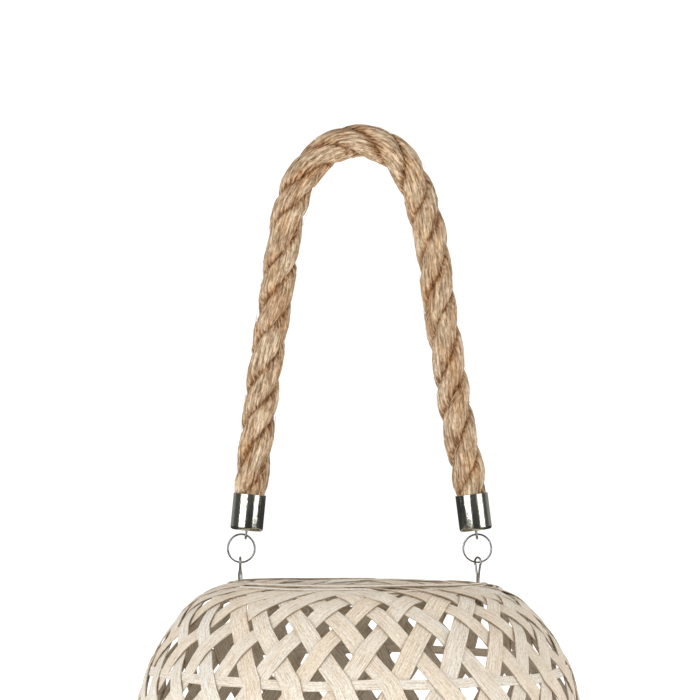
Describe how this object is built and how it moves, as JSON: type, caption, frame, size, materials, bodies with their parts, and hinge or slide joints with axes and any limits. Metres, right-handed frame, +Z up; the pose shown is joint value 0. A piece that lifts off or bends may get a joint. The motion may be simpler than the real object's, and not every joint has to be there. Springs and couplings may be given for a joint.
{
  "type": "hanging lantern",
  "caption": "Round lantern of diagonally woven bamboo strips with a thick rope bail handle on split rings, and a glass candle holder inside.",
  "frame": {"origin": "centre of the foot ring's underside, on the surface that the lantern stands on", "axes": "+Z up along the basket's axis; the rope arch lies in the XZ plane, and the front faces -Y"},
  "size_m": [0.308, 0.308, 0.5628],
  "materials": {
    "bamboo": "whitewashed, matt, with the grain showing",
    "cane": "raw cane, matt",
    "plywood": "sanded, unvarnished",
    "nickel": "polished nickel plate",
    "steel": "bright drawn steel",
    "rope": "twisted jute, hairy",
    "glass": "clear",
    "wax": "ivory wax, satin",
    "wick": "waxed cotton"
  },
  "bodies": {
    "basket": {"weave_outer_strips": "bamboo", "weave_inner_strips": "bamboo", "hoop_upper": "bamboo", "hoop_middle": "bamboo", "hoop_lower": "bamboo", "rim_border": "bamboo", "rim_core_hoop": "cane", "base_plate": "plywood", "foot_ring": "plywood", "glass_seat_ring": "plywood", "foot_nail_1": "steel", "foot_nail_2": "steel", "foot_nail_3": "steel", "foot_nail_4": "steel", "foot_nail_5": "steel", "foot_nail_6": "steel"},
    "eyelet_left": {"eyelet_left": "nickel"},
    "eyelet_right": {"eyelet_right": "nickel"},
    "ring_left": {"ring_left": "nickel"},
    "ring_right": {"ring_right": "nickel"},
    "handle": {"rope_handle": "rope", "cap_left": "nickel", "cap_right": "nickel", "staple_left": "nickel", "staple_right": "nickel"},
    "glass": {"glass_cylinder": "glass"},
    "candle": {"candle": "wax", "wick": "wick"}
  },
  "joints": [
    {"name": "eyelet_left_swivel", "type": "hinge", "parent": "basket", "child": "eyelet_left", "pos_m": [-0.0815, 0, 0.2624], "axis": [0, 0, 1], "range_deg": [-35, 35]},
    {"name": "eyelet_right_swivel", "type": "hinge", "parent": "basket", "child": "eyelet_right", "pos_m": [0.0815, 0, 0.2624], "axis": [0, 0, 1], "range_deg": [-70, 0]},
    {"name": "ring_left_swing", "type": "hinge", "parent": "basket", "child": "ring_left", "pos_m": [-0.0808, 0, 0.2624], "axis": [1, 0, 0], "range_deg": [-50, 50]},
    {"name": "ring_right_swing", "type": "hinge", "parent": "basket", "child": "ring_right", "pos_m": [0.0812, 0, 0.2624], "axis": [1, 0, 0], "range_deg": [-50, 50]},
    {"name": "handle_swing", "type": "hinge", "parent": "ring_left", "child": "handle", "pos_m": [-0.0773, 0, 0.2812], "axis": [1, 0, 0], "range_deg": [-50, 50]},
    {"name": "glass_lift", "type": "slide", "parent": "basket", "child": "glass", "axis": [0, 0, 1], "range_m": [0, 0.24]},
    {"name": "candle_lift", "type": "slide", "parent": "glass", "child": "candle", "axis": [0, 0, 1], "range_m": [0, 0.15]}
  ],
  "couplings": [
    {"joint": "ring_right_swing", "follows": "ring_left_swing", "ratio": 1}
  ]
}
